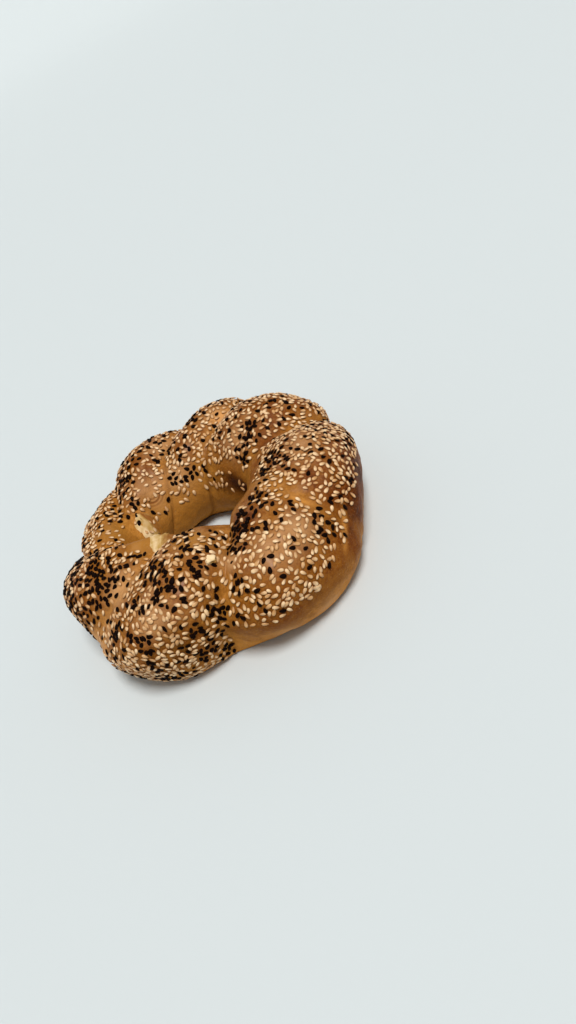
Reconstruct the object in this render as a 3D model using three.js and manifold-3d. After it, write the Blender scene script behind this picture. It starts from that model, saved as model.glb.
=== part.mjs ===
// A knot roll: two strands of dough twisted round each other and closed into a ring,
// baked on a flat tray and sprinkled with sesame seeds.
// Millimetres, +Z up. The roll lies on its flat base, and the middle of that base is the origin.

import * as THREE from 'three';
import { ParametricGeometry } from 'three/addons/geometries/ParametricGeometry.js';
import { mergeVertices } from 'three/addons/utils/BufferGeometryUtils.js';
import Module from 'manifold-3d';

// Ring
const RING_RADIUS = 45.5; // from the middle of the hole to the middle of the twist
const CORE_HEIGHT = 21; // of the middle of the twist, over the tray
const WIDTH_FACTOR = 1.06; // the section is a little wider than round
const CROWN_FACTOR = 0.92; // and a little flatter above its middle
const BELLY_FACTOR = 0.98; // than below it
const BELLY_SQUARENESS = 0.88; // an exponent under 1 fills the lower corners of the section
const BELLY_HEIGHT = 0.9; // of the half section, over which the belly takes that form
const BASE_SINK = 3; // how far every section would reach below the tray, where it is cut flat
const FOOT_SPREAD = 4; // of the dough into the lower part of the hole

// Lobes. A crease is where one strand dives under the other.
// A lobe runs from its own crease to the next.
// angle: azimuth of the crease, half way between its two feet, degrees
// lean: how far the crease trails at its outer foot, and leads at its inner foot, degrees
// bow: how far the middle of the crease stands onward of the line between its feet, degrees
// depth: of the crease
// radius: of the section in the middle of the lobe
// reach: how far the middle of the lobe sits outside the ring's circle
const LOBES = [
  { angle: -128, lean: 37.5, bow: -8.5, depth: 4.5, radius: 27.9, reach: 4.7 },
  { angle: -82.5, lean: 27.5, bow: -11, depth: 10.5, radius: 26.5, reach: 4.3 },
  { angle: -34, lean: 9.5, bow: -22, depth: 2, radius: 24.4, reach: 0.3 },
  { angle: 12, lean: -4, bow: -14, depth: 6, radius: 26.3, reach: 1.3 },
  { angle: 68, lean: 24.5, bow: -17, depth: 6, radius: 23.5, reach: 4.1 },
  { angle: 109.5, lean: 39, bow: -24.5, depth: 5.5, radius: 20.5, reach: 7 },
  { angle: 137.5, lean: 40, bow: -8, depth: 6.5, radius: 15.3, reach: 6.1 },
  { angle: 181, lean: 57, bow: 0, depth: 6.5, radius: 25, reach: -1.1 },
];
const LOBE_PUFF = 0.75; // under 1 makes the lobes fuller and the creases narrower
const CREASE_SOFTNESS = 0.1; // rounds the floor of a crease
const CREASE_UNDERNEATH = 0.25; // share of a crease's depth that is left at the tray
const CREASE_INSIDE = 0.28; // share of it, and of the waves below, that is left in the hole
const CREASE_FADE_HEIGHT = 0.4; // of the half section, over which a crease gets shallow
const CREASE_START = -60; // section angle of a crease's outer foot, degrees
const CREASE_SPAN = 300; // from there over the crown to its inner foot, degrees
const FOOT_TOP = 0.6; // of the half section, where the foot begins
const FOOT_HEIGHT = 1.2; // of the half section, over which it reaches its full spread

// Uneven proving: low waves over the whole crust,
// with whole numbers of waves along the ring and round the section
const WAVES = [
  { height: 1.1, along: 5, around: 2, phase: 2.2 },
  { height: 0.8, along: 9, around: -3, phase: 6 },
  { height: 0.25, along: 14, around: 5, phase: 2 },
];

// Seeds
const SEED_COUNT = 170;
const SEED_LENGTH_MAX = 3.3;
const SEED_LENGTH_MIN = 2.7;
const SEED_WIDTH_FACTOR = 0.6; // of the length
const SEED_THICKNESS_FACTOR = 0.36; // of the length
const SEED_SINK = 0.12; // of the seed's middle into the crust
const SEED_SPACING = 7.8; // least distance between the middles of two seeds
const SEED_LOWEST = -8; // section angles between which seeds lie, degrees
const SEED_HIGHEST = 140;
const SEED_CREASE_MARGIN = 0.45; // share of the way up from a crease's floor that stays bare
const SEED_SIDES = 5;
const SEED_TRIES = 40000;
const RANDOM_SEED = 41;

// Mesh
const STEPS_PER_LOBE = 9;
const SECTION_STEPS = 32;
const TANGENT_STEP = 0.001;

const CRUST_COLOUR = 0xb87333;
const CRUST_ROUGHNESS = 0.42;

const FULL_TURN = 2 * Math.PI;

const ease = (t) => t * t * (3 - 2 * t);
const signedPower = (value, exponent) => Math.sign(value) * Math.abs(value) ** exponent;

// The lobe of that number, counted round the ring without end
const lobe = (number) => LOBES[THREE.MathUtils.euclideanModulo(number, LOBES.length)];

// A value of the lobes at a place along the twist, eased from each lobe to the next
function lobeValue(name, place) {
  const number = Math.floor(place);
  return THREE.MathUtils.lerp(lobe(number)[name], lobe(number + 1)[name], ease(place - number));
}

// How high the strand stands at a place along the twist:
// 0 on the floor of a crease, 1 in the middle of a lobe
function strandRise(place) {
  const floor = CREASE_SOFTNESS ** LOBE_PUFF;
  const rounded = (height) => (height ** 2 + CREASE_SOFTNESS ** 2) ** (LOBE_PUFF / 2) - floor;
  return rounded(Math.sin(Math.PI * place)) / rounded(1);
}

// Which way a crease has turned at a section angle: 1 at its outer foot, -1 at its inner foot.
// Over the crown it turns evenly, and below the tray it comes back.
function creaseTurn(around) {
  const past = THREE.MathUtils.euclideanModulo(THREE.MathUtils.radToDeg(around) - CREASE_START, 360);
  if (past <= CREASE_SPAN) return 1 - (2 * past) / CREASE_SPAN;
  return 2 * ease((past - CREASE_SPAN) / (360 - CREASE_SPAN)) - 1;
}

// Azimuth of a crease that has turned that far, degrees
function creaseAzimuth(number, turn) {
  const { angle, lean, bow } = lobe(number);
  return angle - lean * turn + bow * (1 - turn ** 2) + 360 * Math.floor(number / LOBES.length);
}

// Azimuth at a place along the twist and a section angle, degrees: whole places are creases
function azimuthAt(place, around) {
  const number = Math.floor(place);
  const turn = creaseTurn(around);
  return THREE.MathUtils.lerp(creaseAzimuth(number, turn), creaseAzimuth(number + 1, turn), place - number);
}

function sectionRadius(place, around) {
  const fade = ease(THREE.MathUtils.clamp((Math.sin(around) + 1) / CREASE_FADE_HEIGHT, 0, 1));
  const inward = ease(Math.max(-Math.cos(around), 0));
  const keptBelow = THREE.MathUtils.lerp(CREASE_UNDERNEATH, 1, fade);
  const keptInside = THREE.MathUtils.lerp(1, CREASE_INSIDE, inward);
  const dip = keptBelow * keptInside * lobeValue('depth', place) * (1 - strandRise(place));
  const turn = (place / LOBES.length) * FULL_TURN;
  const waves = WAVES.map((w) => w.height * Math.sin(w.along * turn + w.around * around + w.phase));
  const uneven = keptInside * waves.reduce((sum, height) => sum + height);
  return lobeValue('radius', place - 0.5) - dip + uneven;
}

// A point of the crust. Section angles run from the outer side, 0, over the crown to the inner side.
function crustPoint(place, around, target) {
  const belly = ease(THREE.MathUtils.clamp(-Math.sin(around) / BELLY_HEIGHT, 0, 1));
  const squareness = THREE.MathUtils.lerp(1, BELLY_SQUARENESS, belly);
  const radius = sectionRadius(place, around);
  const bellyDepth = Math.max(BELLY_FACTOR * radius, CORE_HEIGHT + BASE_SINK);
  const halfHeight = THREE.MathUtils.lerp(CROWN_FACTOR * radius, bellyDepth, belly);
  const footShare = THREE.MathUtils.clamp((FOOT_TOP - Math.sin(around)) / FOOT_HEIGHT, 0, 1);
  const foot = FOOT_SPREAD * Math.max(-Math.cos(around), 0) * ease(footShare);
  const out = WIDTH_FACTOR * radius * signedPower(Math.cos(around), squareness) - foot;
  const up = halfHeight * signedPower(Math.sin(around), squareness);
  const azimuth = THREE.MathUtils.degToRad(azimuthAt(place, around));
  const distance = RING_RADIUS + lobeValue('reach', place - 0.5) + out;
  return target.set(distance * Math.cos(azimuth), distance * Math.sin(azimuth), CORE_HEIGHT + up);
}

// Grid lines follow the creases, and stand closer together towards them
function crustGeometry() {
  const surface = (u, v, target) => {
    const lobes = u * LOBES.length;
    const number = Math.floor(lobes);
    const spaced = (1 - Math.cos(Math.PI * (lobes - number))) / 2;
    crustPoint(number + spaced, v * FULL_TURN, target);
  };
  return new ParametricGeometry(surface, STEPS_PER_LOBE * LOBES.length, SECTION_STEPS);
}

// A flat teardrop of length 1, with its long axis along Y and its flat side across Z
function seedGeometry() {
  const profile = [
    new THREE.Vector2(0, -0.5),
    new THREE.Vector2(0.42, -0.22),
    new THREE.Vector2(0.4, 0.14),
    new THREE.Vector2(0, 0.5),
  ];
  const geometry = new THREE.LatheGeometry(profile, SEED_SIDES);
  return geometry.scale(SEED_WIDTH_FACTOR, 1, SEED_THICKNESS_FACTOR);
}

// A repeatable source of numbers from 0 to 1 (mulberry32)
function randomSource(start) {
  let state = start;
  return () => {
    state = (state + 0x6d2b79f5) | 0;
    let mixed = Math.imul(state ^ (state >>> 15), 1 | state);
    mixed = (mixed + Math.imul(mixed ^ (mixed >>> 7), 61 | mixed)) ^ mixed;
    return ((mixed ^ (mixed >>> 14)) >>> 0) / 4294967296;
  };
}

// Where a seed lies: its middle, and a frame with Z out of the crust and Y along the seed
function seedPlacement(place, around, heading, length) {
  const middle = crustPoint(place, around, new THREE.Vector3());
  const onward = crustPoint(place + TANGENT_STEP, around, new THREE.Vector3()).sub(middle);
  const upward = crustPoint(place, around + TANGENT_STEP, new THREE.Vector3()).sub(middle);
  const normal = new THREE.Vector3().crossVectors(onward, upward).normalize();
  const along = onward.normalize().applyAxisAngle(normal, heading);
  const across = new THREE.Vector3().crossVectors(along, normal);
  const matrix = new THREE.Matrix4().makeBasis(across, along, normal);
  matrix.scale(new THREE.Vector3(length, length, length));
  matrix.setPosition(middle.clone().addScaledVector(normal, -SEED_SINK));
  return { middle, matrix };
}

// Seeds thrown at random on the crown and the shoulders, each kept if it is clear of the others
function scatterSeeds() {
  const random = randomSource(RANDOM_SEED);
  const lowest = THREE.MathUtils.degToRad(SEED_LOWEST);
  const highest = THREE.MathUtils.degToRad(SEED_HIGHEST);
  const seeds = [];
  for (let tried = 0; tried < SEED_TRIES && seeds.length < SEED_COUNT; tried += 1) {
    const place = random() * LOBES.length;
    const around = THREE.MathUtils.lerp(lowest, highest, random());
    const heading = random() * FULL_TURN;
    if (strandRise(place) < SEED_CREASE_MARGIN) continue;
    const length = THREE.MathUtils.lerp(SEED_LENGTH_MAX, SEED_LENGTH_MIN, seeds.length / SEED_COUNT);
    const seed = seedPlacement(place, around, heading, length);
    if (seeds.every((other) => other.middle.distanceTo(seed.middle) >= SEED_SPACING)) seeds.push(seed);
  }
  return seeds;
}

const wasm = await Module();
wasm.setup();

// A closed solid from a geometry, with only its positions kept and its seams welded
function solidFrom(geometry) {
  geometry.deleteAttribute('normal');
  geometry.deleteAttribute('uv');
  const welded = mergeVertices(geometry);
  const vertProperties = new Float32Array(welded.attributes.position.array);
  const triVerts = new Uint32Array(welded.index.array);
  return new wasm.Manifold(new wasm.Mesh({ numProp: 3, vertProperties, triVerts }));
}

function geometryFrom(solid) {
  const { vertProperties, triVerts } = solid.getMesh();
  const geometry = new THREE.BufferGeometry();
  geometry.setAttribute('position', new THREE.BufferAttribute(vertProperties, 3));
  geometry.setIndex(new THREE.BufferAttribute(triVerts, 1));
  geometry.computeVertexNormals();
  return geometry;
}

// The crust with its seeds as one body. A seed that touches nothing is left out.
function seededRoll() {
  const seed = seedGeometry();
  const joined = scatterSeeds().reduce(
    (body, { matrix }) => body.add(solidFrom(seed.clone().applyMatrix4(matrix))),
    solidFrom(crustGeometry()).trimByPlane([0, 0, 1], 0),
  );
  const bodies = joined.decompose();
  return bodies.reduce((largest, body) => (body.volume() > largest.volume() ? body : largest));
}

// Moves the middle of the roll's outline over the origin
function centre(geometry) {
  geometry.computeBoundingBox();
  const middle = geometry.boundingBox.getCenter(new THREE.Vector3());
  return geometry.translate(-middle.x, -middle.y, 0);
}

const crust = new THREE.MeshStandardMaterial({
  color: CRUST_COLOUR,
  roughness: CRUST_ROUGHNESS,
  metalness: 0,
});

const knotRoll = new THREE.Mesh(centre(geometryFrom(seededRoll())), crust);
knotRoll.name = 'knot_roll';

const part = new THREE.Group();
part.add(knotRoll);

export default part;
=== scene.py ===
"""Knot roll: a baked ring of two twisted strands of dough, sprinkled with pale and dark sesame seeds.

The crust, both kinds of seed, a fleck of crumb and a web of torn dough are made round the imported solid, on a
plain pale stage. Shape functions work in millimetres and meshes are in metres.
"""

import math
from collections import namedtuple

import bmesh
import bpy
import numpy as np
from bpy.props import FloatProperty, FloatVectorProperty, IntProperty, PointerProperty
from mathutils import Matrix, Vector, noise


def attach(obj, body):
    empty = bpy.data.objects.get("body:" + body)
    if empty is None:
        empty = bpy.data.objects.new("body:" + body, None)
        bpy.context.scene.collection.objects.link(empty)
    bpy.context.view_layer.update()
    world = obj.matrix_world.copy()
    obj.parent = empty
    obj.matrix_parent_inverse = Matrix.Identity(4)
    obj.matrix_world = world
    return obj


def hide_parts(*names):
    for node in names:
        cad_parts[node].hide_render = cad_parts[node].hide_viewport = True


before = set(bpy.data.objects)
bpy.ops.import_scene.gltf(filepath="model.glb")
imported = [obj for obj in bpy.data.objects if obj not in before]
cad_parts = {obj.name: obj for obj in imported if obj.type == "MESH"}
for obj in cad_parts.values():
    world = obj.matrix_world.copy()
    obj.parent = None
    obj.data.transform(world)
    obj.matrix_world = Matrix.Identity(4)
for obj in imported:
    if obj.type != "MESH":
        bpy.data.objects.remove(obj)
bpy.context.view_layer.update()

bl_info = {
    "name": "Knot Roll",
    "version": (1, 0, 0),
    "blender": (4, 5, 0),
    "location": "3D View > Sidebar > Knot Roll",
    "description": "Makes a seeded, twisted ring roll and its stage",
    "category": "Object",
}

BODY = "root"
NODE = "knot_roll"
MM = 0.001

# Ring, in millimetres, as in the part's source
RING_MIDDLE = np.array((0.074, 2.096, 0.0))  # of the hole, from the middle of the roll's outline
RING_RADIUS = 45.5
CORE_HEIGHT = 21.0
WIDTH_FACTOR = 1.06
CROWN_FACTOR = 0.92
BELLY_FACTOR = 0.98
BELLY_SQUARENESS = 0.88
BELLY_HEIGHT = 0.9
BASE_SINK = 3.0
FOOT_SPREAD = 4.0
FOOT_TOP = 0.6
FOOT_HEIGHT = 1.2
LOBE_PUFF = 0.75
CREASE_SOFTNESS = 0.1
CREASE_UNDERNEATH = 0.25
CREASE_INSIDE = 0.28
CREASE_FADE_HEIGHT = 0.4
CREASE_START = -60.0
CREASE_SPAN = 300.0
WAVES = ((1.1, 5, 2, 2.2), (0.8, 9, -3, 6.0), (0.25, 14, 5, 2.0))  # height, along, around, phase

# Lobes in order round the ring. A lobe runs from its own crease to the next.
# Crease: azimuth, lean and bow in degrees, then its depth.
# Section: radius, and reach outside the ring's circle.
# Seam: how sharp a line runs in the crease.
# Seeds: section angles between which they lie, how thickly, and the share of dark ones.
# Baked: how much browner the lobe is than the rest.
Lobe = namedtuple("Lobe", "angle lean bow depth radius reach seam lowest highest cover dark baked")
LOBES = (
    Lobe(-128.0, 37.5, -8.5, 4.5, 27.9, 4.7, 0.15, -56.0, 124.0, 1.25, 0.21, 0.02),
    Lobe(-82.5, 27.5, -11.0, 10.5, 26.5, 4.3, 0.3, -4.0, 114.0, 0.74, 0.12, 0.05),
    Lobe(-34.0, 9.5, -22.0, 2.0, 24.4, 0.3, 0.1, 12.0, 128.0, 0.88, 0.15, 0.11),
    Lobe(12.0, -4.0, -14.0, 6.0, 26.3, 1.3, 0.2, 2.0, 156.0, 0.98, 0.12, 0.12),
    Lobe(68.0, 24.5, -17.0, 6.0, 23.5, 4.1, 0.6, -4.0, 172.0, 0.8, 0.13, 0.05),
    Lobe(109.5, 39.0, -24.5, 5.5, 20.5, 7.0, 0.5, -6.0, 164.0, 0.75, 0.2, 0.1),
    Lobe(137.5, 40.0, -8.0, 6.5, 15.3, 6.1, 0.4, -6.0, 142.0, 1.55, 0.2, -0.1),
    Lobe(181.0, 57.0, 0.0, 6.5, 25.0, -1.1, 0.3, -12.0, 106.0, 1.7, 0.47, 0.02),
)

# Crust mesh, in millimetres
SECTION_STEPS = 171  # odd, so that one edge lies flat at the bottom
STEPS_PER_LOBE = 70
CREASE_CROWDING = 0.6  # how much closer the columns stand at a crease
DIFFERENCE = 1e-4  # step for finding directions on the crust
FOOT_SEARCH = ((-90.0, -20.0), (270.0, 200.0))  # section angles under and over each foot
FOOT_STEPS = 40
TRAY_TOLERANCE = 1e-3
FADE_HEIGHT = 3.0  # of the relief, over the tray
LUMP_SIZE = 11.0
WRINKLE_SIZE = 3.0
SEAM_EVENNESS = 0.6  # share of a seam that the lumps leave alone
# share of the seam in the crease mask, which paints shade into the crease's colour
SEAM_PAINTED_SHADE = 0.6

# Colour masks of the crust, in millimetres and degrees
WASH_FROM = 28.0  # heights between which the egg wash begins to shine
WASH_FULL = 42.0
PATCH_MEAN = 0.8  # of egg wash and of the peach patches, flushed and painted sheen, before the lumps
WASH_UNEVENNESS = 0.6
FLUSH_AND_SHEEN_UNEVENNESS = 0.5
LOW_MOTTLE = 0.3  # share of the mottling that is left at the tray
VALLEY_WIDTH = 4.5
SIDE_HEIGHT = 20.0  # below which the crust is paler, partly as less baked dough and partly as painted bounce light from the tray
INNER_FROM = 130.0
INNER_SPAN = 40.0
MEAN_BROWNING = 0.45
LUMP_BROWNING = 0.14
WRINKLE_BROWNING = 0.08
SPOT_BROWNING_AND_SHADE = 0.42
SPOT_PALING = 0.4
VALLEY_PALING = 0.2
SIDE_PALING_AND_PAINTED_LIGHT = 0.5
INNER_PALING = 0.1
VALLEY_AMBER = 0.35
INNER_AMBER = 0.85
AMBER_ON_PALE = 0.2  # share that is left there
AMBER_ON_BROWN = 0.1

# Marks on the crust: place along the twist, section angle in degrees, radius in millimetres
BARE_SPOTS = (
    (3.0, 114, 6), (0.45, 105, 6), (0.7, 109, 6), (1.15, 104, 6), (2.53, 72, 4.5), (6.3, 125, 9),
    (6.55, 112, 8), (1.02, 92, 4), (1.03, 70, 3.5), (0.04, 60, 6), (0.05, 38, 7), (0.03, 85, 5),
    (1.95, 77, 3.5), (1.99, 65, 3.5), (2.0, 52, 4), (1.8, 2, 9), (1.6, -4, 7), (7.92, 26, 6), (0.04, 18, 8),
    (0.12, 8, 8), (0.2, 0, 6), (0.3, -12, 5), (3.27, 156, 6), (3.6, 150, 4), (1.68, 76, 6), (3.0, 98, 4),
    (7.83, 20, 5), (7.9, 8, 7), (7.97, 0, 8), (0.06, 0, 8), (0.15, -3, 7), (0.24, -10, 6), (4.09, 87, 4),
    (5.4, 146, 8), (5.33, 132, 5), (7.6, 120, 5), (3.3, 172, 10),
)
DARK_SPOTS = (
    (2.38, 89, 4.5), (2.2, 112, 4), (2.53, 105, 3), (3.35, 110, 3.5), (3.27, 119, 3), (3.15, 133, 3),
    (3.07, 148, 3), (0.7, 123, 4), (0.46, 123, 4), (1.0, 19, 4), (0.88, -18, 4), (5.81, 98, 4),
    (6.06, 150, 4.5), (5.72, 139, 4), (5.74, 112, 4), (7.71, 66, 4.5), (7.8, 60, 4.5), (0.59, 91, 4),
    (0.71, 83, 3.5), (0.6, 66, 4), (0.36, 84, 4), (0.22, 28, 4), (0.46, 28, 4), (0.55, -30, 4),
    (1.18, 98, 6), (1.3, 92, 6), (1.36, 107, 5), (1.55, 97, 6), (1.64, 110, 5), (1.9, 109, 4),
    (1.12, 84, 5), (1.2, 72, 4), (1.12, 42, 4), (1.84, 27, 4), (4.05, 157, 3), (4.5, 161, 3.5),
    (4.8, 153, 3), (0.5, 72, 4), (0.92, 5, 4), (1.0, -38, 5), (1.65, 105, 4), (1.86, 112, 4),
    (1.33, 109, 4), (7.76, 61, 4), (5.75, 111, 4), (1.12, 43, 3.5), (1.0, -1, 4), (0.67, 123, 4),
    (0.82, 23, 3),
)
# Peach patches: partly flushed crust, partly painted sheen on the crowns and a painted reflection low on the
# outer side of one lobe
FLUSHED_AND_SHEEN_SPOTS = (
    (4.1, 88, 7), (5.13, 95, 7), (4.82, 153, 8), (3.38, 125, 7), (7.99, 66, 7), (2.53, 72, 6),
    (5.36, 150, 8), (0.1, 25, 6), (1.5, 50, 8), (1.71, 46, 7), (0.5, 45, 7), (0.38, -8, 8),
    (1.08, 72, 4), (2.45, 75, 7), (0.02, -4, 6), (0.18, -8, 6), (1.3, -36, 6), (1.55, -36, 6),
)
ORANGE_SPOTS = ((0.6, 108, 8), (6.35, 125, 10), (5.3, 176, 10), (5.4, 180, 3), (7.6, 112, 8))
# Browned spots. Those low on the outside by place 2, in the hollow at place 3 and on the wall by the pocket
# are painted shade.
BROWNED_AND_SHADED_SPOTS = ((2.1, 12, 13), (1.97, 4, 8), (2.4, 10, 11), (3.0, 113, 8), (1.35, 95, 6), (3.4, 172, 8))
PALE_SPOTS = (
    (5.88, 172, 6), (4.1, 88, 5), (7.0, 105, 8), (0.2, -35, 9), (0.12, 2, 6), (0.36, -8, 8),
    (7.95, -4, 6), (0.1, -8, 7),
)
POCKET = (3.25, 186, 7.0)  # deep fold in the hole, its colour darkened as painted shade: place, section angle and radius
POCKET_DEPTH = 6.0
# Pale stretch marks: place and section angle of both ends, half width in millimetres
STREAKS = (
    (1.93, 79, 2.0, 44, 0.7), (2.1, 24, 1.93, 4, 0.55), (2.04, 20, 1.9, 0, 0.45), (1.97, 14, 1.8, -6, 0.55),
)
STREAK_STEPS = 12
# Ripples below a bare dome: place and section angle of its middle, then millimetres
RIPPLE_CENTRE = (5.4, 149)
RIPPLE_REACH = 4.0
RIPPLE_WIDTH = 2.4
RIPPLE_TOP = 2.0  # depth below the middle at which they are full
RIPPLE_SPACING = 1.7
RIPPLE_WANDER = 1.5
WAVE_TURN = 20.0  # radians per unit of a wave texture

# Torn web of dough: place and section angle of each patch's corners, clockwise from the upper left
TORN_PATCHES = (
    ((5.97, 144), (5.72, 154), (5.35, 198), (6.1, 180)),
    ((7.36, 124), (7.6, 148), (7.98, 126), (7.96, 106)),
)
TORN_STEPS = 40
TORN_LIFT = 0.35
TORN_SINK = 0.5  # of its rim below the crust
TORN_RIM = 0.3  # share of its width
TORN_RAGGEDNESS = 0.5
TORN_THICKNESS = 0.4
FIBRE_HEIGHT = 0.45
FIBRES_ACROSS = 5.0
FIBRES_ALONG = 1.8
WEB_TINT = 0.2  # of the pale edge
WEB_BROWNING = 0.75  # how much browner the other edge is
WEB_SLOPE = 1.9
WEB_START = 0.35
FIBRE_TINT = 0.3

# Fleck of crumb
FLECK_SIZE = (3.5, 3.5, 2.4)
FLECK_STANDS = 0.5  # height of its middle over the crust
FLECK_BEVEL = 0.25
FLECK_ROUGHNESS = 0.6
FLECK_GRAIN = 1.8
FLECK_SHIFT = Vector((4.0, 1.0, 2.0))  # of its noise
FLECK_SLOPE = 1.2
FLECK_START = 0.2

# Seeds: mesh
SEED_SIDES = 8
SEED_RINGS = 5
SEED_TAPER = 0.44  # how much thinner the pointed end is
SEED_TAPER_POWER = 1.6
SEED_CAP = 1.5  # how steeply the rim's darker colour, partly toasting and partly painted shade, fades up a seed
# Seeds: sprinkling, in millimetres and degrees
SEED_TRIES = 160000
SEED_ANGLES = (-60.0, 180.0)
SEED_CLEARANCE = 2.0  # least height of a seed over the tray
SEED_REACH = 0.27  # of the circles at a seed's ends, as a share of its length
SEED_SPACINGS = (0.75, 1.5)  # shares of the closest distance
DARK_SPACING = 0.9
SEED_TILT = 0.13
SEED_VARIETY = 0.08
PILE_HEIGHT = 0.5  # lift of a seed that lies on another
FULL_COVER = 1.25  # at which every tried seed is kept
FULL_AREA = 98  # percentile of the area per step taken as full
LOWER_FADE = 12.0
UPPER_FADE = 14.0
INNER_FADE = 10.0
INNER_SEEDS = 150.0  # lobes seeded beyond this have a few seeds all down the inside
FEW_SEEDS = 0.4
CREASE_COVER = 0.12  # share of the seeds on the floor of a crease
FLOOR_RISE = 0.08  # rise of the strand at which that floor ends
FLANK_RISE = 0.2
SPRINKLE_SIZE = 9.0  # of thicker and thinner patches
SPRINKLE_MEAN = 0.85
SPRINKLE_CONTRAST = 0.55
SPRINKLE_LIMITS = (0.15, 1.3)
CLUSTER_COVER = 0.5
CLUSTER_DARKNESS = 0.75
DARKEST_SHARE = 0.95
GRID = 5.0  # cells in which near seeds are looked up
Seed = namedtuple("Seed", "at ahead up size tint dark")

# Materials
MOTTLES = {  # scale and detail
    "broad": (160.0, 4.0), "patchy": (420.0, 3.0), "fine": (1100.0, 3.0), "blush": (230.0, 3.0),
    "blister_and_glint": (2300.0, 1.0), "seed": (1500.0, 2.0), "crumb": (420.0, 4.0), "floor": (3.0, 2.0),
}
CRUST_CONTRASTS = (0.35, 0.5, 0.6)  # of the broad, patchy and fine mottling
CRUST_LAYERS = (  # mask, share and colour, in order; painted sheen, glints and shade among them
    ("amber", 1.0, "amber"), ("flush", 0.6, "peach_and_sheen"), ("blush", 0.18, "peach_and_sheen"), ("ripples", 0.8, "brown"),
    ("crease", 0.95, "seam"), ("streak", 0.8, "pale"), ("blisters", 0.4, "peach_and_sheen"),
)
# Painted sheen: peach mottled over the egg-washed crowns in place of their soft highlight
PAINTED_SHEEN_STOPS = (0.45, 0.7)
BLISTER_AND_GLINT_STOPS = (0.66, 0.74)
CRUST_SPREAD = 0.3  # of the roughness
CRUST_SPECULAR = 0.03
WASH_ROUGHNESS = 0.3
SEED_STOPS = (0.35, 0.95)
SEED_TIP_SHARE = 0.8
SEED_SHADE = 0.22
SEED_SPREAD = 0.2
PALE_SEED_FINISH = (0.4, 0.4)  # roughness and specular
DARK_SEED_FINISH = (0.6, 0.02)
CRUMB_CONTRAST = 0.6
CRUMB_FINISH = (0.6, 0.2)
FLOOR_FINISH = (0.7, 0.25)
FLOOR_GRAIN = 0.1
FLOOR_SHADE = 0.94
SKIN_BUMP = (0.6, 0.0005)  # strength, and height in metres
SEED_BUMP = (0.25, 0.0002)

# Stage, in metres
FLOOR_SIDES = 96
FLOOR_RADIUS = 4.0
FLOOR_GAP = 0.0003  # below the roll
SWEEP_RADIUS = 3.0
SWEEP_STEPS = 12
KEY_UP = 0.55  # direction of the overhead light, by the camera
KEY_BACK = 0.8
KEY_LEFT = 0.15
SENSOR = 36.0  # millimetres
CLIP = (0.01, 50.0)


def ease(share):
    """Smooth step from 0 to 1."""
    share = np.clip(share, 0.0, 1.0)
    return share * share * (3.0 - 2.0 * share)


def mix(first, second, share):
    return first + (second - first) * share


def lobe_column(name):
    return np.array([getattr(lobe, name) for lobe in LOBES])


def lobe_value(name, place):
    """A value of the lobes at places along the twist, eased from each lobe to the next."""
    column = lobe_column(name)
    number = np.floor(place).astype(int)
    here = column[number % len(LOBES)]
    onward = column[(number + 1) % len(LOBES)]
    return mix(here, onward, ease(place - number))


def strand_rise(place):
    """How high the strand stands: 0 on the floor of a crease, 1 in the middle of a lobe."""
    def rounded(height):
        return (height ** 2 + CREASE_SOFTNESS ** 2) ** (LOBE_PUFF / 2) - CREASE_SOFTNESS ** LOBE_PUFF
    return rounded(np.sin(np.pi * place)) / rounded(1.0)


def crease_azimuth(number, turn):
    """Azimuths in degrees of creases at a turn, from 1 at the outer foot to -1 at the inner foot."""
    index = number % len(LOBES)
    angle = lobe_column("angle")[index] + 360.0 * (number // len(LOBES))
    return angle - lobe_column("lean")[index] * turn + lobe_column("bow")[index] * (1.0 - turn ** 2)


def section_radius(place, around):
    """Radius of the dough's section, with the creases and the waves of uneven proving."""
    below = mix(CREASE_UNDERNEATH, 1.0, ease((np.sin(around) + 1.0) / CREASE_FADE_HEIGHT))
    inside = mix(1.0, CREASE_INSIDE, ease(np.maximum(-np.cos(around), 0.0)))
    dip = below * inside * lobe_value("depth", place) * (1.0 - strand_rise(place))
    turn = place / len(LOBES) * 2.0 * np.pi
    waves = sum(height * np.sin(a * turn + b * around + phase) for height, a, b, phase in WAVES)
    return lobe_value("radius", place - 0.5) - dip + inside * waves


def crust_point(place, around):
    """Points of the crust in millimetres. Section angles run from the outer side, 0, over the crown."""
    sine, cosine = np.sin(around), np.cos(around)
    belly = ease(-sine / BELLY_HEIGHT)
    squareness = mix(1.0, BELLY_SQUARENESS, belly)
    radius = section_radius(place, around)
    belly_depth = np.maximum(BELLY_FACTOR * radius, CORE_HEIGHT + BASE_SINK)
    half_height = mix(CROWN_FACTOR * radius, belly_depth, belly)
    foot = FOOT_SPREAD * np.maximum(-cosine, 0.0) * ease((FOOT_TOP - sine) / FOOT_HEIGHT)
    out = WIDTH_FACTOR * radius * np.sign(cosine) * np.abs(cosine) ** squareness - foot
    height = CORE_HEIGHT + half_height * np.sign(sine) * np.abs(sine) ** squareness
    number = np.floor(place).astype(int)
    turn = 1.0 - 2.0 * (np.degrees(around) - CREASE_START) / CREASE_SPAN
    azimuth = mix(crease_azimuth(number, turn), crease_azimuth(number + 1, turn), place - number)
    azimuth = np.radians(azimuth)
    distance = RING_RADIUS + lobe_value("reach", place - 0.5) + out
    flat = np.stack([distance * np.cos(azimuth), distance * np.sin(azimuth), height], axis=-1)
    return flat + RING_MIDDLE


def crust_frame(place, around):
    """Points of the crust, steps along the twist and round the section, and outward normals."""
    point = crust_point(place, around)
    along = (crust_point(place + DIFFERENCE, around) - point) / DIFFERENCE
    upward = (crust_point(place, around + DIFFERENCE) - point) / DIFFERENCE
    normal = np.cross(along, upward)
    normal /= np.linalg.norm(normal, axis=-1, keepdims=True)
    return point, along, upward, normal


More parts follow.
